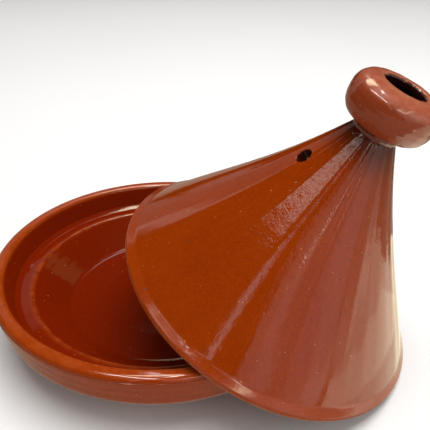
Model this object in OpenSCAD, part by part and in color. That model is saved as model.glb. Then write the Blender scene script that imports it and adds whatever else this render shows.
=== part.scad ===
// Earthenware tagine: a heavy round cooking dish and a tall hollow conical lid with a
// ring-shaped knob. The lid leans on the rim of the dish with one edge on the table.
// Millimetres, +Z up. The origin is the centre of the dish's flat foot, on the table.
// The lid leans towards +X.

/* [Dish] */
// Outer diameter over the rounded rim
dish_d = 270; // [262:1:290]
// Height from the table to the top of the rim
dish_h = 54.2; // [53:0.2:60]
// Diameter of the flat foot
foot_d = 172; // [150:1:180]
// Width of the rim at its top
rim_w = 9.6; // [9:0.1:11]
// Depth of the gallery, from the rim down to the lid's ledge
gallery_depth = 16.4; // [14:0.2:18]
// Diameter across the foot of the gallery, where the lid's edge stands
gallery_d = 237.4; // [236.6:0.2:240]
// Diameter of the mouth of the cooking well
well_d = 211.2; // [205:0.2:214]
// Diameter of the floor of the cooking well
floor_d = 156.4; // [140:0.2:160]
// Thickness of the floor at its centre
floor_t = 12.8; // [11:0.1:14]

/* [Lid] */
// Outer diameter of the lid's rim band
lid_d = 236; // [232:0.5:236]
// Height of the lid's rim band
band_h = 4.6; // [4:0.1:6]
// Height along the lid's axis at which the cone would reach the neck's size
cone_h = 147.8; // [147:0.1:150]
// Diameter of the neck under the knob
neck_d = 29.2; // [28:0.1:30]
// How far the side of the cone is drawn in from a straight line
draw_in = 4.27; // [2:0.05:6]
// Wall thickness of the lid, measured level
lid_wall = 8; // [7:0.1:9]
// Height inside the lid at which its hollow starts to close
hollow_h = 134; // [120:1:135]

/* [Steam hole] */
// Diameter of the steam hole
steam_d = 10.6; // [8:0.2:12]
// Height of the steam hole along the lid's axis
steam_h = 114.6; // [108:0.2:116]
// Bearing of the steam hole round the lid's axis, in degrees from the side it leans to
steam_az = -155.2; // [-180:0.2:180]

/* [Knob] */
// Outer diameter of the ring-shaped knob
knob_d = 60.8; // [56:0.2:66]
// Height of the knob's underside along the lid's axis
knob_z = 150.9; // [150.5:0.1:152]
// Height of the knob itself
knob_h = 29.5; // [28:0.1:32]
// Diameter of the knob's mouth
mouth_d = 29; // [26:0.2:30]
// Thickness of clay left under the knob's cup
cup_floor = 5; // [4:0.5:6]
// Outer diameter of the joining collar under the knob
collar_d = 32.8; // [32.4:0.2:36]

/* [Resting pose] */
// Tilt of the lid's axis from upright, in degrees
lean = 24.2; // [24.2:0.1:25.5]
// Distance from the dish's axis to the centre of the lid's rim
lid_shift = 88.5; // [88.5:0.1:92]

/* [Hidden] */
$fn = 96;

dish_r = dish_d / 2;
lid_r = lid_d / 2;
neck_r = neck_d / 2;
knob_r = knob_d / 2;
mouth_r = mouth_d / 2;
cone_foot = 9;            // height at which the rim band has turned into the cone
cone_top = 146;           // the cone is cut off here and the collar stands on it
band_in = lid_r - 6.9;    // inner radius of the rim band
rim_round = 2.6;          // rounding of the band's lower edges
// the tilted rim band rests on its rounded lower edge: the lid's lowest point is at z = 0
lid_lift = (lid_r - rim_round) * sin(lean) + rim_round - rim_round * cos(lean);

// Points of a smooth corner: [x, y, radius] vertices become arcs
function unit(v) = v / norm(v);
function corner(a, p, b, r, n) =
    let (u = unit([a[0] - p[0], a[1] - p[1]]), v = unit([b[0] - p[0], b[1] - p[1]]),
         half = acos(max(-1, min(1, u * v))) / 2,
         c = [p[0], p[1]] + unit(u + v) * r / sin(half),
         s = [p[0], p[1]] + u * r / tan(half) - c,
         e = [p[0], p[1]] + v * r / tan(half) - c,
         a0 = atan2(s[1], s[0]), a1 = atan2(e[1], e[0]),
         d0 = a1 - a0, d = d0 > 180 ? d0 - 360 : (d0 < -180 ? d0 + 360 : d0))
    [for (k = [0:n]) c + r * [cos(a0 + d * k / n), sin(a0 + d * k / n)]];
function rounded(v, n = 6) =
    [for (i = [0:len(v) - 1])
        for (q = (v[i][2] > 0 && i > 0 && i < len(v) - 1)
                ? corner(v[i - 1], v[i], v[i + 1], v[i][2], n) : [[v[i][0], v[i][1]]]) q];

// Radius of the lid's outer side at height h along its axis
function side_r(h) = let (t = min(1, max(0, h / cone_h)))
    neck_r + (lid_r + 1.2 - neck_r) * (1 - t) - draw_in * sin(180 * pow(t, 1.5));

// Outer side of the knob from its underside up to its crown: a squarish ring section
knob_flat = 0.5255 * knob_r;
knob_mid = knob_z + 0.5764 * knob_h;
function knob_side(n = 22) = [for (k = [0:n])
    let (a = -90 + 180 * k / n, up = a > 0, p = up ? 0.876 : 0.783)
    [knob_flat + (knob_r - knob_flat) * pow(abs(cos(a)), p),
     knob_mid + (up ? 0.4236 : -0.5764) * knob_h * pow(abs(sin(a)), p)]];

dish_profile = rounded([
    [0, 0, 0],
    [foot_d / 2, 0, 2.5],
    [foot_d / 2 + 8, 7, 8],
    [dish_r - 4.8, 26.5, 7],
    [dish_r, dish_h - 4.6, 10],
    [dish_r, dish_h, 4.2],
    [dish_r - rim_w, dish_h, 4],
    [gallery_d / 2, dish_h - gallery_depth, 1.5],
    [gallery_d / 2 - 4, dish_h - gallery_depth - 2.5, 1.5],
    [well_d / 2, dish_h - gallery_depth - 2.5, 3.2],
    [floor_d / 2, floor_t + 1.6, 8],
    [50, floor_t + 0.2, 40],
    [0, floor_t, 0]]);

lid_profile = concat(
    [[0, 0.5 * cone_top + 0.5 * (hollow_h + 2)]],
    [[side_r(hollow_h) - lid_wall - 5, hollow_h + 4], [side_r(hollow_h) - lid_wall - 1.5, hollow_h + 2.4]],
    [for (k = [0:24]) let (h = hollow_h + (cone_foot - hollow_h) * k / 24) [side_r(h) - lid_wall, h]],
    rounded([[side_r(cone_foot) - lid_wall, cone_foot, 0],
             [band_in, 0, rim_round],
             [lid_r, 0, rim_round],
             [lid_r, band_h, 1.6],
             [side_r(cone_foot), cone_foot, 0]]),
    [for (k = [1:26]) let (h = cone_foot + (cone_top - cone_foot) * k / 26) [side_r(h), h]],
    [[0, cone_top]]);

collar_profile = rounded([
    [0, cone_top, 0],
    [collar_d / 2 - 0.6, cone_top, 1.0],
    [collar_d / 2, (cone_top + knob_z) / 2, 1.8],
    [collar_d / 2 - 0.8, knob_z, 1.0],
    [0, knob_z, 0]]);

cup_z = knob_z + cup_floor;
top_z = knob_z + knob_h;
knob_profile = concat(
    [[0, knob_z]],
    knob_side(),
    rounded([[knob_flat - 0.01, top_z - 0.01, 0],
             [mouth_r + 0.7, top_z - 0.4, 0.8],
             [mouth_r, top_z - 1.8, 1.4],
             [mouth_r + 0.1, top_z - 5.5, 2.5],
             [knob_r - 9.6, top_z - 10.5, 4],
             [knob_r - 11, cup_z + 1.5, 5],
             [6, cup_z, 20],
             [0, cup_z, 0]]));

// Puts something built round the lid's own upright axis into its resting place
module leaning() translate([lid_shift, 0, lid_lift]) rotate([0, lean, 0]) children();

// Thrown cooking dish: flat foot, rounded rim, gallery with a ledge for the lid, cooking well
module base_dish() color([0.55, 0.24, 0.09])
    rotate_extrude() polygon(dish_profile);

// Hollow thrown lid with a rim band, drawn-in sides and one steam hole
module lid_cone() color([0.62, 0.28, 0.10])
    leaning() difference() {
        rotate_extrude() polygon(lid_profile);
        rotate([0, 0, steam_az]) translate([side_r(steam_h), 0, steam_h])
            rotate([0, 90 - atan((side_r(steam_h - 1) - side_r(steam_h + 1)) / 2), 0])
                translate([0, 0, -16]) cylinder(d = steam_d, h = 24, $fn = 48);
    }

// Ring of clay that joins the knob to the neck of the cone
module knob_collar() color([0.66, 0.36, 0.20])
    leaning() rotate_extrude() polygon(collar_profile);

// Bulbous ring-shaped knob, hollowed from above
module lid_knob() color([0.60, 0.29, 0.13])
    leaning() rotate_extrude() polygon(knob_profile);

base_dish();
lid_cone();
knob_collar();
lid_knob();
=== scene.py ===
import math

import bpy
import bmesh
import numpy as np
from mathutils import Matrix, Vector


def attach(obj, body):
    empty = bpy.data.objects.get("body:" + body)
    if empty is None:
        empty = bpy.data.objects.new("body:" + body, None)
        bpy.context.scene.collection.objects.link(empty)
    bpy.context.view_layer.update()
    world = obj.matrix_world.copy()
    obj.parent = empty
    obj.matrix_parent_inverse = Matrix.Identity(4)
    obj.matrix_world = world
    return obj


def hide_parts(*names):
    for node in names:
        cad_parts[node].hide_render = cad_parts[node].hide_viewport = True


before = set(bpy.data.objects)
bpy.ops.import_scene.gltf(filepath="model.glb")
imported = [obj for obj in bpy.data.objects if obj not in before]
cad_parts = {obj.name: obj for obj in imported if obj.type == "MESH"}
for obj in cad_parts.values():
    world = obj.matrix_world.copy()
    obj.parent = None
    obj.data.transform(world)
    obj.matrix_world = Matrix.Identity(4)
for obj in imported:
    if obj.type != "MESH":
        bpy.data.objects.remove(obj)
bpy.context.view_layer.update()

scene = bpy.context.scene
MM = 0.001

# ---------------------------------------------------------------- shared shape numbers (mm), as in the CAD
LID_R, NECK_R, CONE_H, DRAW = 118.0, 14.6, 147.8, 4.27
LEAN, SHIFT = math.radians(24.2), 88.5
LIFT = (LID_R - 2.6) * math.sin(LEAN) + 2.6 - 2.6 * math.cos(LEAN)
LID_FRAME = Matrix.Translation((SHIFT * MM, 0, LIFT * MM)) @ Matrix.Rotation(LEAN, 4, "Y")
KNOB_R, KNOB_Z, KNOB_H = 30.4, 150.9, 29.5
STEAM_H, STEAM_AZ, STEAM_R = 114.6, math.radians(-155.2), 5.3


def side_r(h):
    t = np.clip(np.asarray(h, float) / CONE_H, 0, 1)
    return NECK_R + (LID_R + 1.2 - NECK_R) * (1 - t) - DRAW * np.sin(np.pi * t**1.5)


def rounded(v, n=10):
    """Vertices [r, z, fillet] to a polyline with smooth corners."""
    out = []
    for i, (x, y, r) in enumerate(v):
        if r <= 0 or i in (0, len(v) - 1):
            out.append((x, y))
            continue
        p = np.array([x, y], float)
        a, b = np.array(v[i - 1][:2], float), np.array(v[i + 1][:2], float)
        ua, ub = (a - p) / np.linalg.norm(a - p), (b - p) / np.linalg.norm(b - p)
        half = math.acos(max(-1, min(1, float(ua @ ub)))) / 2
        w = (ua + ub) / np.linalg.norm(ua + ub)
        c = p + w * r / math.sin(half)
        s, e = p + ua * r / math.tan(half) - c, p + ub * r / math.tan(half) - c
        a0, a1 = math.atan2(s[1], s[0]), math.atan2(e[1], e[0])
        d = (a1 - a0 + math.pi) % (2 * math.pi) - math.pi
        for k in range(n + 1):
            t = a0 + d * k / n
            out.append((c[0] + r * math.cos(t), c[1] + r * math.sin(t)))
    return out


def finer(points, step):
    """The polyline with no segment longer than step."""
    out = [points[0]]
    for a, b in zip(points, points[1:]):
        n = max(1, int(math.ceil(math.hypot(b[0] - a[0], b[1] - a[1]) / step)))
        for k in range(1, n + 1):
            out.append((a[0] + (b[0] - a[0]) * k / n, a[1] + (b[1] - a[1]) * k / n))
    return out


def waves(theta, h, seed, low, high, count, climb, amp):
    """A sum of smooth waves round the axis, with whole numbers of waves so that they close, drifting slowly with h."""
    rng = np.random.default_rng(seed)
    out = np.zeros(np.broadcast(theta, h).shape)
    total = 0.0
    for _ in range(count):
        n = int(rng.integers(low, high + 1))
        a = (low / n) ** 0.5
        out += a * np.cos(n * theta + rng.uniform(-climb, climb) * h + rng.uniform(0, 2 * np.pi))
        total += a * a / 2
    return out * amp / math.sqrt(total)


def smooth(x, a, b):
    t = np.clip((x - a) / (b - a), 0, 1)
    return t * t * (3 - 2 * t)


def lathe(name, points, segments, swell=None, matrix=None, masks=None):
    """A closed turned body in mesh code. points run from the axis to the axis round the section, anticlockwise.
    swell(theta, r, z) gives how far the skin stands out along its normal, in mm. masks are point attributes."""
    p = np.array(points, float)
    keep = np.concatenate([[True], np.linalg.norm(np.diff(p, axis=0), axis=1) > 1e-5])
    p = p[keep]
    tangent = np.zeros_like(p)
    tangent[1:-1] = p[2:] - p[:-2]
    tangent[0], tangent[-1] = p[1] - p[0], p[-1] - p[-2]
    tangent /= np.linalg.norm(tangent, axis=1)[:, None]
    normal = np.stack([tangent[:, 1], -tangent[:, 0]], -1)
    theta = np.arange(segments) / segments * 2 * np.pi
    ring = p[1:-1]
    T, R, Z = theta[None, :], ring[:, 0][:, None], ring[:, 1][:, None]
    push = swell(T, R, Z) if swell else np.zeros((len(ring), segments))
    rr = R + push * normal[1:-1, 0][:, None]
    zz = Z + push * normal[1:-1, 1][:, None]
    co = np.stack([rr * np.cos(T), rr * np.sin(T), np.broadcast_to(zz, rr.shape)], -1).reshape(-1, 3)
    co = np.vstack([co, [0, 0, p[0, 1]], [0, 0, p[-1, 1]]]) * MM
    n, s = len(ring), segments
    i, j = np.meshgrid(np.arange(n - 1), np.arange(s), indexing="ij")
    k = (j + 1) % s
    quads = np.stack([i * s + j, i * s + k, (i + 1) * s + k, (i + 1) * s + j], -1).reshape(-1, 4)
    j = np.arange(s)
    k = (j + 1) % s
    first = np.stack([np.full(s, n * s), k, j], -1)
    last = np.stack([np.full(s, n * s + 1), (n - 1) * s + j, (n - 1) * s + k], -1)
    me = bpy.data.meshes.new(name)
    me.from_pydata(co.tolist(), [], quads.tolist() + first.tolist() + last.tolist())
    for key, f in (masks or {}).items():
        full = np.broadcast_to(f(T, R, Z), (n, s)).reshape(-1)
        ends = [float(np.broadcast_to(f(np.zeros((1, 1)), np.full((1, 1), q[0]), np.full((1, 1), q[1])), (1, 1))[0, 0]) for q in (p[0], p[-1])]
        at = me.attributes.new(key, "FLOAT", "POINT")
        at.data.foreach_set("value", np.concatenate([full, ends]).astype(np.float32))
    me.update()
    me.validate()
    bm = bmesh.new()
    bm.from_mesh(me)
    bmesh.ops.recalc_face_normals(bm, faces=bm.faces)
    bm.to_mesh(me)
    bm.free()
    if matrix is not None:
        me.transform(matrix)
    me.shade_smooth()
    ob = bpy.data.objects.new(name, me)
    scene.collection.objects.link(ob)
    return ob


# ---------------------------------------------------------------- cooking dish
dish_points = finer(rounded([
    (0, 0, 0), (86, 0, 2.5), (94, 7, 8), (130.2, 26.5, 7), (135, 49.6, 10), (135, 54.2, 4.2), (125.4, 54.2, 4),
    (118.7, 37.8, 1.5), (114.7, 35.3, 1.5), (105.6, 35.3, 3.2), (78.2, 14.4, 8), (50, 13.0, 40), (0, 12.8, 0)]), 1.3)


def dish_swell(t, r, z):
    inside = (z > 11.5) & (r < 124)
    floor = smooth(z, 20, 13) * (r < 84)
    floor = floor * (z > 11.5)
    rings = floor * smooth(r, 20, 60) * (0.014 * np.cos(2 * np.pi * r / 6.2 + t) + 0.006 * np.cos(2 * np.pi * r / 4.1 + 2 * t + 1.0))
    wall = inside * smooth(z, 14, 20) * (0.03 * np.cos(2 * np.pi * z / 5.3 + t + 0.6) + 0.015 * np.cos(2 * np.pi * z / 3.1 - t))
    outside = (~inside) * (0.06 * np.cos(2 * np.pi * z / 7.5 + t) + waves(t, z, 11, 3, 14, 7, 0.02, 0.05))
    hand = inside * waves(t, r / 30, 12, 9, 40, 12, 0.6, 0.05) * smooth(r, 80, 96)
    return rings + wall + outside * (z > 0.6) + hand


dish = lathe("dish_body", dish_points, 480, dish_swell, masks={
    "lip": lambda t, r, z: smooth(z, 51.5, 54.0) * np.ones_like(t) + smooth(z, 33.6, 35.2) * smooth(r, 110, 104.5) * smooth(r, 100.5, 104),
    # painted shade: marks the whole inside of the dish for a darker colour
    "well": lambda t, r, z: smooth(z, 54.0, 50.0) * ((r < 124.5) & (z > 11.5)) * np.ones_like(t),
    "bowl": lambda t, r, z: 0.10 * smooth(z, 26, 16) * ((r < 100) & (z > 11.5)) * np.ones_like(t),
})

# ---------------------------------------------------------------- lid: hollow cone with a rim band
inner = [(0, 141.0), (float(side_r(134)) - 13, 138.0), (float(side_r(134)) - 9.5, 136.4)]
inner += [(float(side_r(h)) - 8, h) for h in np.linspace(134, 9, 40)]
band = rounded([(float(side_r(9)) - 8, 9, 0), (111.1, 0, 2.6), (118, 0, 2.6), (118, 4.6, 1.6), (float(side_r(9)), 9, 0)])
outer = [(float(side_r(h)), h) for h in np.linspace(9, 146, 130)]
lid_points = finer(inner + band[1:] + outer[1:] + [(0, 146.0)], 1.6)


def lid_outside(r, z):
    return smooth(r - (side_r(z) - 4.0), -0.5, 0.5) * smooth(z, 4.0, 12.0) * smooth(z, 146.5, 143.5)


def lid_swell(t, r, z):
    out = lid_outside(r, z)
    flutes = waves(t, z / 100, 21, 13, 46, 26, 1.8, 0.055)
    turning = 0.006 * np.cos(2 * np.pi * z / 9.3 + t)
    inside = (1 - smooth(r - (side_r(z) - 4.0), -0.5, 0.5)) * smooth(z, 10, 20) * smooth(z, 134, 128)
    return out * (flutes + turning) + inside * 0.14 * np.cos(2 * np.pi * z / 6.4 + t)


lid = lathe("lid_cone_body", lid_points, 480, lid_swell, LID_FRAME, masks={
    "lip": lambda t, r, z: smooth(z, 5.6, 2.0) * np.ones_like(t),
    "edge": lambda t, r, z: 0.25 * smooth(z, 12.0, 8.0) * np.ones_like(t),
    # painted shade: marks the top of the lid cone under the knob for a darker colour
    "neck": lambda t, r, z: smooth(z, 120, 146) * np.ones_like(t),
    # painted shade: marks the inside of the lid cone for a darker colour
    "hollow": lambda t, r, z: (1 - smooth(r - (side_r(z) - 4.0), -0.5, 0.5)) * np.ones_like(t),
})


def flared(name, radius, flare, low, high, lip, segments=96):
    """A drill with a trumpet mouth, so that the hole it cuts has a soft edge. Along +Z, z = 0 at the outer skin."""
    z = list(np.linspace(low, -lip, 8)) + list(np.linspace(-lip, 0.0, 9))[1:] + [high]
    rad = []
    for q in z:
        if q <= -lip:
            rad.append(radius)
        elif q <= 0:
            u = 1 + q / lip
            rad.append(radius + flare * (1 - math.sqrt(max(0.0, 1 - u * u))))
        else:
            rad.append(radius + flare + 1.5)
    bm = bmesh.new()
    rings = []
    for q, rr in zip(z, rad):
        rings.append([bm.verts.new((rr * math.cos(a) * MM, rr * math.sin(a) * MM, q * MM)) for a in np.arange(segments) / segments * 2 * math.pi])
    for a, b in zip(rings, rings[1:]):
        for k in range(segments):
            bm.faces.new((a[k], a[(k + 1) % segments], b[(k + 1) % segments], b[k]))
    bm.faces.new(list(reversed(rings[0])))
    bm.faces.new(rings[-1])
    me = bpy.data.meshes.new(name)
    bm.to_mesh(me)
    bm.free()
    ob = bpy.data.objects.new(name, me)
    scene.collection.objects.link(ob)
    return ob


slope = math.atan((float(side_r(STEAM_H - 1)) - float(side_r(STEAM_H + 1))) / 2)
drill = flared("steam_drill", STEAM_R - 0.2, 0.9, -16, 6, 1.6)
drill.matrix_world = (LID_FRAME @ Matrix.Rotation(STEAM_AZ, 4, "Z")
                      @ Matrix.Translation((float(side_r(STEAM_H)) * MM, 0, STEAM_H * MM))
                      @ Matrix.Rotation(math.pi / 2 - slope, 4, "Y"))
cut = lid.modifiers.new("steam_hole", "BOOLEAN")
cut.operation, cut.solver, cut.object = "DIFFERENCE", "EXACT", drill
bpy.context.view_layer.update()
cut_mesh = bpy.data.meshes.new_from_object(lid.evaluated_get(bpy.context.evaluated_depsgraph_get()), preserve_all_data_layers=True, depsgraph=bpy.context.evaluated_depsgraph_get())
lid.modifiers.clear()
old = lid.data
lid.data = cut_mesh
bpy.data.meshes.remove(old)
bpy.data.objects.remove(drill)
lid.data.shade_smooth()
lid.data.set_sharp_from_angle(angle=math.radians(38))

# ---------------------------------------------------------------- joining collar
collar_points = finer(rounded([(0, 146, 0), (15.8, 146, 1.0), (16.4, 148.45, 1.8), (15.6, 150.9, 1.0), (0, 150.9, 0)], 8), 0.7)
collar = lathe("collar_ring", collar_points, 240,
               lambda t, r, z: smooth(r, 12.5, 15) * waves(t, z / 4, 31, 4, 22, 12, 0.8, 0.10), LID_FRAME,
               masks={"lip": lambda t, r, z: 0.35 * np.ones_like(t * r)})

# ---------------------------------------------------------------- knob: squarish ring, hollowed from above
flat, mid = 0.5255 * KNOB_R, KNOB_Z + 0.5764 * KNOB_H
side = []
for k in range(57):
    a = math.radians(-90 + 180 * k / 56)
    up = a > 0
    e = 0.876 if up else 0.783
    side.append((flat + (KNOB_R - flat) * abs(math.cos(a)) ** e, mid + (0.4236 if up else -0.5764) * KNOB_H * abs(math.sin(a)) ** e))
top = KNOB_Z + KNOB_H
cup = rounded([(flat - 0.01, top - 0.01, 0), (15.2, top - 0.4, 0.8), (14.5, top - 1.8, 1.4), (14.6, top - 5.5, 2.5), (KNOB_R - 9.6, top - 10.5, 4),
               (KNOB_R - 11, KNOB_Z + 6.5, 5), (6, KNOB_Z + 5, 20), (0, KNOB_Z + 5, 0)])
knob_points = finer([(0, KNOB_Z)] + side + cup, 0.9)


def knob_swell(t, r, z):
    out = smooth(r, 15.5, 19) * smooth(z, KNOB_Z + 0.4, KNOB_Z + 4)
    return out * (waves(t, z / 30, 41, 2, 5, 6, 0.8, 0.10) + waves(t, z / 12, 42, 7, 26, 14, 1.0, 0.045) + 0.04 * np.cos(2 * np.pi * z / 4.1 + t))


def in_cup(r, z):
    return np.where(z > top - 4, r < 15.6, r < 22.5) * (z > KNOB_Z + 4) * smooth(z, top - 0.2, top - 0.8)


knob = lathe("knob_ring", knob_points, 288, knob_swell, LID_FRAME, masks={
    "lip": lambda t, r, z: smooth(z, top - 2.4, top - 0.2) * smooth(r, 19, 15) * np.ones_like(t),
    # partly glaze bloom, partly painted sheen: marks the knob's top for a paler, pinker colour
    "crown": lambda t, r, z: (0.10 * smooth(z, mid - 8, mid) + 0.90 * smooth(z, mid + 3.6, mid + 8.0)) * (1 - in_cup(r, z)) * np.ones_like(t),
    # painted shade: marks the knob's cup for a near-black colour
    "cup": lambda t, r, z: in_cup(r, z) * np.ones_like(t),
})


# ---------------------------------------------------------------- glaze materials
class Tree:
    """Short calls for building a node tree."""

    def __init__(self, name):
        self.mat = bpy.data.materials.new(name)
        self.mat.use_nodes = True
        self.t = self.mat.node_tree
        self.t.nodes.clear()
        self.out = self.new("ShaderNodeOutputMaterial")
        self.bsdf = self.new("ShaderNodeBsdfPrincipled")
        self.link(self.bsdf.outputs[0], self.out.inputs[0])

    def new(self, kind, **kw):
        n = self.t.nodes.new(kind)
        for k, v in kw.items():
            setattr(n, k, v)
        return n

    def link(self, a, b):
        self.t.links.new(a, b)

    def feed(self, socket, value):
        if isinstance(value, bpy.types.NodeSocket):
            self.link(value, socket)
        else:
            socket.default_value = value

    def math(self, op, a, b=0.0, c=None, clamp=False):
        n = self.new("ShaderNodeMath", operation=op, use_clamp=clamp)
        self.feed(n.inputs[0], a)
        self.feed(n.inputs[1], b)
        if c is not None:
            self.feed(n.inputs[2], c)
        return n.outputs[0]

    def vec(self, op, a, b=None, scale=None):
        n = self.new("ShaderNodeVectorMath", operation=op)
        self.feed(n.inputs[0], a)
        if b is not None:
            self.feed(n.inputs[1], b)
        if scale is not None:
            self.feed(n.inputs["Scale"], scale)
        return n.outputs["Value" if op in ("LENGTH", "DOT_PRODUCT", "DISTANCE") else "Vector"]

    def noise(self, vector, scale, detail=3.0, rough=0.5, dist=0.0):
        n = self.new("ShaderNodeTexNoise")
        self.link(vector, n.inputs["Vector"])
        n.inputs["Scale"].default_value = scale
        n.inputs["Detail"].default_value = detail
        n.inputs["Roughness"].default_value = rough
        n.inputs["Distortion"].default_value = dist
        return n.outputs["Fac"]

    def range(self, value, a, b, lo=0.0, hi=1.0, kind="SMOOTHSTEP"):
        n = self.new("ShaderNodeMapRange", interpolation_type=kind, clamp=True) if kind == "LINEAR" else self.new("ShaderNodeMapRange", interpolation_type=kind)
        self.feed(n.inputs["Value"], value)
        n.inputs["From Min"].default_value, n.inputs["From Max"].default_value = a, b
        n.inputs["To Min"].default_value, n.inputs["To Max"].default_value = lo, hi
        return n.outputs["Result"]

    def mix(self, fac, a, b, blend="MIX"):
        n = self.new("ShaderNodeMix", data_type="RGBA", blend_type=blend)
        self.feed(n.inputs["Factor"], fac)
        for socket, v in ((n.inputs[6], a), (n.inputs[7], b)):
            self.feed(socket, v if isinstance(v, bpy.types.NodeSocket) else (*v, 1.0))
        return n.outputs[2]

    def attr(self, name):
        n = self.new("ShaderNodeAttribute", attribute_name=name)
        return n.outputs["Fac"]

    def specks(self, vector, scale, share, size, seed):
        """1 in small round spots: share of the cells of that scale hold one, with random sizes."""
        off = self.vec("ADD", vector, (seed * 3.7, seed * 1.3, seed * 2.1))
        v = self.new("ShaderNodeTexVoronoi", feature="F1")
        self.link(off, v.inputs["Vector"])
        v.inputs["Scale"].default_value = scale
        v.inputs["Randomness"].default_value = 1.0
        sep = self.new("ShaderNodeSeparateColor")
        self.link(v.outputs["Color"], sep.inputs[0])
        chosen = self.range(sep.outputs[0], 1 - share, 1 - share * 0.5)
        wide = self.math("MULTIPLY_ADD", sep.outputs[1], size * 0.8, size * 0.35)
        edge = self.math("SUBTRACT", wide, v.outputs["Distance"])
        spot = self.range(edge, 0.0, size * 0.35)
        return self.math("MULTIPLY", spot, chosen)


def glaze(name, body, painted_hollow_shade, thin, leaning, mask_painted_hollow_shade=None, mask_thin=None, rough=(0.10, 0.2), streak=0.5, bump=1.0,
          dark_specks=0.07, light_specks=0.07, lathe_axis=True, bloom_and_painted_sheen=None, mask_bloom_and_painted_sheen=None, rings=0.0, painted_shade=None, mask_painted_shade=None, mask_matt=None):
    """A glossy terracotta glaze: body colour with clouding, fine grain, iron specks, pale pinholes,
    radial brush streaks and thinner colour at lips, with painted shade as a darker colour in hollows and under the
    knob, and a paler top on the knob that is partly glaze bloom and partly painted sheen."""
    m = Tree(name)
    co = m.new("ShaderNodeTexCoord").outputs["Object"]
    if leaning:  # back to the lid's own upright axis
        own = m.new("ShaderNodeMapping", vector_type="POINT")
        m.link(co, own.inputs["Vector"])
        undo = LID_FRAME.inverted()
        own.inputs["Location"].default_value = undo.to_translation()
        own.inputs["Rotation"].default_value = undo.to_euler("XYZ")
        co = own.outputs[0]
    mm = m.vec("SCALE", co, scale=1000.0)
    sep = m.new("ShaderNodeSeparateXYZ")
    m.link(mm, sep.inputs[0])
    flat_xy = m.new("ShaderNodeCombineXYZ")
    m.link(sep.outputs[0], flat_xy.inputs[0])
    m.link(sep.outputs[1], flat_xy.inputs[1])
    around = m.vec("SCALE", m.vec("NORMALIZE", flat_xy.outputs[0]), scale=9.0)
    radius = m.vec("LENGTH", flat_xy.outputs[0])
    lift = m.new("ShaderNodeCombineXYZ")
    m.link(m.math("MULTIPLY", sep.outputs[2], 0.022), lift.inputs[2])
    spoke = m.vec("ADD", around, lift.outputs[0])
    cloud = m.noise(mm, 0.016, 3, 0.55)
    mottle = m.noise(mm, 0.20, 4, 0.6)
    grain = m.noise(mm, 1.1, 3, 0.6)
    spokes = m.noise(spoke, 1.0, 4, 0.55)
    fine_spokes = m.noise(spoke, 3.4, 3, 0.6)

    # colour
    c = m.mix(m.range(cloud, 0.35, 0.68), body, tuple(q * f for q, f in zip(body, (0.90, 0.84, 0.8))))
    c = m.mix(m.math("MULTIPLY", m.range(mottle, 0.40, 0.72), 0.45), c, tuple(q * f for q, f in zip(body, (1.10, 1.22, 1.3))))
    c = m.mix(m.math("MULTIPLY", m.range(spokes, 0.45, 0.75), streak * 0.6), c, tuple(q * f for q, f in zip(body, (0.84, 0.74, 0.9))))
    c = m.mix(m.math("MULTIPLY", m.range(grain, 0.50, 0.70), 0.55), c, tuple(q * f for q, f in zip(body, (0.66, 0.52, 0.6))))
    c = m.mix(m.math("MULTIPLY", m.range(grain, 0.48, 0.30), 0.50), c, tuple(q * f for q, f in zip(body, (1.22, 1.55, 1.8))))
    # painted shade: a darker colour inside hollows (inside the lid, the dish's well, the knob's cup)
    if mask_painted_hollow_shade:
        c = m.mix(m.math("MULTIPLY", m.attr(mask_painted_hollow_shade), 0.96), c, painted_hollow_shade)
    # painted shade: a darker, streaky colour under the knob at the top of the lid cone
    if mask_painted_shade:
        c = m.mix(m.math("MULTIPLY", m.attr(mask_painted_shade), m.range(spokes, 0.3, 0.7, 0.95, 0.65)), c, painted_shade)
    # paler, pinker knob top: partly glaze bloom, partly painted sheen of the light above
    if mask_bloom_and_painted_sheen:
        bloom_and_sheen_mix = m.math("MULTIPLY", m.attr(mask_bloom_and_painted_sheen), m.range(mottle, 0.30, 0.72, 0.62, 1.0))
        c = m.mix(bloom_and_sheen_mix, c, bloom_and_painted_sheen)
        satin = m.range(bloom_and_sheen_mix, 0.55, 0.95, 0.0, 0.15)
    if mask_thin:
        worn = m.math("MULTIPLY", m.attr(mask_thin), m.range(m.noise(mm, 0.11, 4, 0.65), 0.36, 0.62, 0.25, 0.9))
        c = m.mix(worn, c, thin)
    iron = m.specks(mm, 0.34, dark_specks, 0.26, 1.0)
    pits = m.specks(mm, 0.60, dark_specks * 0.6, 0.26, 2.0)
    pale = m.specks(mm, 0.48, light_specks, 0.21, 3.0)
    dark = m.math("MAXIMUM", iron, pits)
    c = m.mix(m.math("MULTIPLY", dark, 0.80), c, (0.060, 0.014, 0.003))
    c = m.mix(m.math("MULTIPLY", pale, 0.80), c, (0.60, 0.27, 0.08))
    m.link(c, m.bsdf.inputs["Base Color"])

    # gloss: cloudy patches and rougher specks
    r = m.range(m.noise(mm, 0.045, 4, 0.6), 0.35, 0.7, rough[0], rough[1])
    r = m.math("ADD", r, m.math("MULTIPLY", m.range(grain, 0.5, 0.75), 0.05))
    if mask_bloom_and_painted_sheen:
        r = m.math("ADD", r, satin)
    if mask_matt:
        r = m.math("ADD", r, m.math("MULTIPLY", m.attr(mask_matt), 0.26))
    r = m.math("ADD", r, m.math("MULTIPLY", dark, 0.25), clamp=True)
    m.link(r, m.bsdf.inputs["Roughness"])
    m.bsdf.inputs["IOR"].default_value = 1.52
    m.bsdf.inputs["Specular IOR Level"].default_value = 0.5

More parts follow.
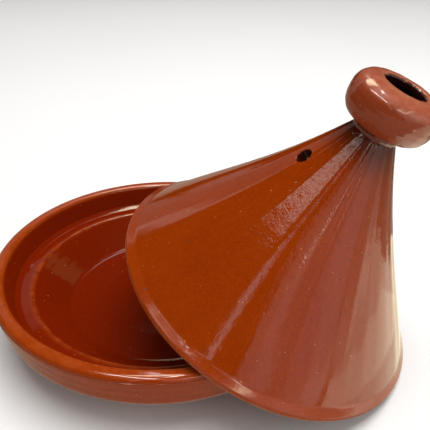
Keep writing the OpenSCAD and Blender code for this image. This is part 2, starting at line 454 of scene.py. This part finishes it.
    # relief: torn-edged ripple of the glaze, spokes from brushing, orange peel, pinholes
    ripple = m.noise(mm, 0.10, 3, 0.55, 0.8)
    peel = m.noise(mm, 0.55, 2, 0.5)
    tear = m.noise(mm, 0.45, 3, 0.62, 0.6)
    fan = m.math("MULTIPLY", m.range(radius, 12.0, 90.0, 0.25, 1.0), 0.045 * streak * 2)
    h = m.math("MULTIPLY", ripple, 0.090)
    h = m.math("ADD", h, m.math("MULTIPLY", tear, 0.040))
    h = m.math("ADD", h, m.math("MULTIPLY", fine_spokes, fan))
    h = m.math("ADD", h, m.math("MULTIPLY", peel, 0.010))
    if rings:
        turn = m.math("SINE", m.math("ADD", m.math("MULTIPLY", radius, 2 * math.pi / 2.9), m.math("MULTIPLY", spokes, 9.0)))
        h = m.math("ADD", h, m.math("MULTIPLY", turn, rings))
    h = m.math("SUBTRACT", h, m.math("MULTIPLY", dark, 0.05))
    b = m.new("ShaderNodeBump")
    b.inputs["Strength"].default_value = 1.0
    b.inputs["Distance"].default_value = 0.001 * bump
    m.link(h, b.inputs["Height"])
    m.link(b.outputs["Normal"], m.bsdf.inputs["Normal"])
    return m.mat


BODY = (0.272, 0.0320, 0.0010)
# lid glaze, with painted shade inside the hollow and under the knob
lid_mat = glaze("lid_glaze", BODY, (0.15, 0.015, 0.001), (0.34, 0.066, 0.014), True, "hollow", "lip", rough=(0.035, 0.075), streak=0.5,
                painted_shade=(0.050, 0.008, 0.003), mask_painted_shade="neck", mask_matt="edge", dark_specks=0.05, light_specks=0.09)
# dish glaze, with painted shade inside the well
dish_mat = glaze("dish_glaze", (0.275, 0.0310, 0.0012), (0.175, 0.0105, 0.0006), (0.33, 0.050, 0.007), False, "well", "lip",
                 rough=(0.045, 0.08), streak=0.0, bump=0.36, rings=0.006, mask_matt="bowl")
# painted shade: the collar's colour is darker than the lid glaze because it sits in the knob's shadow
collar_mat = glaze("collar_glaze", (0.13, 0.028, 0.012), (0.12, 0.03, 0.015), (0.24, 0.07, 0.035), True, None, "lip", streak=0.2, bump=0.7)
# knob glaze: near-black painted shade in the cup, and a top paler from glaze bloom and painted sheen
knob_mat = glaze("knob_glaze", (0.250, 0.038, 0.010), (0.012, 0.003, 0.004), (0.46, 0.15, 0.08), True, "cup", "lip",
                 rough=(0.05, 0.10), streak=0.1, bump=0.4, dark_specks=0.09, light_specks=0.16, bloom_and_painted_sheen=(0.38, 0.105, 0.058), mask_bloom_and_painted_sheen="crown")

for ob, mat, node, body, slot in (
        (dish, dish_mat, "base_dish", "base", "dish_glaze"),
        (lid, lid_mat, "lid_cone", "lid", "lid_glaze"),
        (collar, collar_mat, "knob_collar", "lid", "collar_glaze"),
        (knob, knob_mat, "lid_knob", "lid", "knob_glaze")):
    ob.data.materials.clear()
    ob.data.materials.append(mat)
    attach(ob, body)
    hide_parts(node)

# ---------------------------------------------------------------- floor
bm = bmesh.new()
bmesh.ops.create_grid(bm, x_segments=24, y_segments=24, size=6.0)
fm = bpy.data.meshes.new("studio_floor")
bm.to_mesh(fm)
bm.free()
floor = bpy.data.objects.new("studio_floor", fm)
scene.collection.objects.link(floor)
f = Tree("floor_paper")
fco = f.new("ShaderNodeTexCoord").outputs["Object"]
fc = f.mix(f.range(f.noise(fco, 1.3, 3), 0.35, 0.7), (0.86, 0.855, 0.845), (0.84, 0.835, 0.825))
f.link(fc, f.bsdf.inputs["Base Color"])
f.bsdf.inputs["Roughness"].default_value = 0.85
floor.visible_glossy = False
f.bsdf.inputs["Specular IOR Level"].default_value = 0.2
fm.materials.append(f.mat)

# ---------------------------------------------------------------- light: pale surroundings for the soft fill, softboxes for the glaze
world = bpy.data.worlds.new("studio")
scene.world = world
world.use_nodes = True
world.node_tree.nodes["Background"].inputs[0].default_value = (1.0, 0.99, 0.975, 1)
seen = world.node_tree.nodes.new("ShaderNodeLightPath")
level = world.node_tree.nodes.new("ShaderNodeMapRange")
level.inputs["To Min"].default_value, level.inputs["To Max"].default_value = 0.36, 0.93
world.node_tree.links.new(seen.outputs["Is Camera Ray"], level.inputs["Value"])
world.node_tree.links.new(level.outputs["Result"], world.node_tree.nodes["Background"].inputs[1])
world.cycles_visibility.glossy = False

AIM = Vector((0.09, 0.0, 0.10))


def lamp(name, at, width, height, radiance, tint=(1, 1, 1), glossy=True, diffuse=False, aim=AIM):
    """A rectangular softbox that faces aim and shows that radiance."""
    light = bpy.data.lights.new(name, "AREA")
    light.shape = "RECTANGLE"
    light.size, light.size_y = width, height
    light.energy = radiance * math.pi * width * height
    light.color = tint
    ob = bpy.data.objects.new(name, light)
    ob.location = at
    ob.rotation_euler = (aim - Vector(at)).to_track_quat("-Z", "Y").to_euler()
    ob.visible_camera = False
    ob.visible_glossy = glossy
    ob.visible_diffuse = diffuse
    scene.collection.objects.link(ob)
    return ob


def softbox(name, az, el, radiance, distance=2.6, **more):
    """A lamp that covers az[0]..az[1] and el[0]..el[1] degrees as seen from the lid."""
    a, e = math.radians(sum(az) / 2), math.radians(sum(el) / 2)
    at = AIM + distance * Vector((math.cos(a) * math.cos(e), math.sin(a) * math.cos(e), math.sin(e)))
    return lamp(name, at, 2 * distance * math.tan(math.radians(abs(az[1] - az[0]) / 2)) * math.cos(e),
                2 * distance * math.tan(math.radians(abs(el[1] - el[0]) / 2)), radiance, **more)


lamp("overhead_soft", (0.22, 0.18, 2.2), 1.5, 2.0, 5.4, glossy=False, diffuse=True)
lamp("side_soft", (1.65, -0.55, 0.95), 1.0, 1.0, 2.4, tint=(1.0, 0.97, 0.93), glossy=False, diffuse=True)
lamp("overhead_window", (0.112, -0.12, 1.45), 0.24, 0.11, 34.0, tint=(1.0, 0.97, 0.90), aim=Vector((0.105, -0.12001, 0.0)))
strip = lamp("overhead_strip", (-0.046, -0.3255, 0.85), 0.636, 0.058, 28.0, tint=(1.0, 0.93, 0.84))
strip.rotation_euler = (0.0, 0.0, math.radians(-48.9))
patch = lamp("overhead_patch", (-0.171, -0.451, 0.85), 0.44, 0.052, 3.1, tint=(1.0, 0.97, 0.87))
patch.rotation_euler = (0.0, 0.0, math.radians(-49.2))
back = lamp("overhead_back", (-0.0825, 0.25, 0.85), 0.325, 0.26, 13.5, tint=(1.0, 0.86, 0.62))
back.rotation_euler = (0.0, 0.0, 0.0)
softbox("back_window", (110.5, 119.5), (43.5, 57), 5.2, tint=(0.92, 0.94, 1.0))
softbox("back_right_low", (52, 72), (22, 38), 0.29, tint=(1.0, 0.92, 0.33))
softbox("back_left_low", (121, 130), (6, 29), 0.32, tint=(1.0, 0.88, 0.80))
softbox("back_left", (130, 148), (-2, 38), 0.26, tint=(1.0, 0.88, 0.80))
softbox("back_left_edge", (147.5, 152.5), (4, 40), 0.80, tint=(1.0, 0.88, 0.80))
softbox("front_strip", (-91.5, -87.0), (18, 45), 1.6)
softbox("right_1", (-72, -64), (2, 45), 0.55)
softbox("right_2", (-64, -55), (-5, 42), 0.80)
softbox("right_3", (-55, -45), (-8, 40), 0.42)
softbox("right_4", (-45, -33), (-8, 38), 0.65)
softbox("right_5", (-33, -21), (-8, 30), 0.85)
softbox("right_6", (-21, 6), (-10, 25), 0.62, tint=(1.0, 0.97, 0.85))
softbox("right_line", (-62, -12), (34.5, 37.0), 11.0, tint=(1.0, 0.86, 0.62))
for name, x, y, z, radiance in (("table_glow", (0.19, 1.05), (-0.15, 0.13), 0.004, 1.05), ("table_side", (0.19, 0.33), (0.13, 0.19), 0.004, 0.95),
                                ("table_near", (0.225, 0.36), (-0.15, 0.08), 0.006, 0.50)):
    table = lamp(name, (sum(x) / 2, sum(y) / 2, z), x[1] - x[0], y[1] - y[0], radiance, tint=(1.0, 0.97, 0.74))
    table.rotation_euler = (math.pi, 0.0, 0.0)
dim = lamp("table_dim", (0.0, 0.15, 0.002), 3.2, 3.4, 0.36, tint=(1.0, 0.87, 0.66))
dim.rotation_euler = (math.pi, 0.0, 0.0)

scene.view_settings.view_transform = "Standard"
scene.view_settings.look = "None"
scene.view_settings.exposure = 0.0
scene.view_settings.gamma = 1.0
scene.cycles.use_denoising = True
scene.cycles.max_bounces = 8
scene.cycles.diffuse_bounces = 5
scene.cycles.glossy_bounces = 4
scene.cycles.sample_clamp_indirect = 6.0

# ---------------------------------------------------------------- camera at the photograph's viewing angle
cam = bpy.data.cameras.new("camera")
cam.sensor_fit, cam.sensor_width = "HORIZONTAL", 36.0
cam.lens = 551.796 / 430 * 36.0
cam.clip_start, cam.clip_end = 0.01, 50.0
camera = bpy.data.objects.new("camera", cam)
scene.collection.objects.link(camera)
right = Vector((0.955205, 0.295471, 0.016765)).normalized()
ahead = Vector((-0.247092, 0.827417, -0.504308)).normalized()
up = right.cross(ahead).normalized()
right = ahead.cross(up).normalized()
camera.matrix_world = Matrix.Translation((0.146634, -0.346027, 0.310947)) @ Matrix((
    (right.x, up.x, -ahead.x, 0), (right.y, up.y, -ahead.y, 0), (right.z, up.z, -ahead.z, 0), (0, 0, 0, 1)))
scene.camera = camera
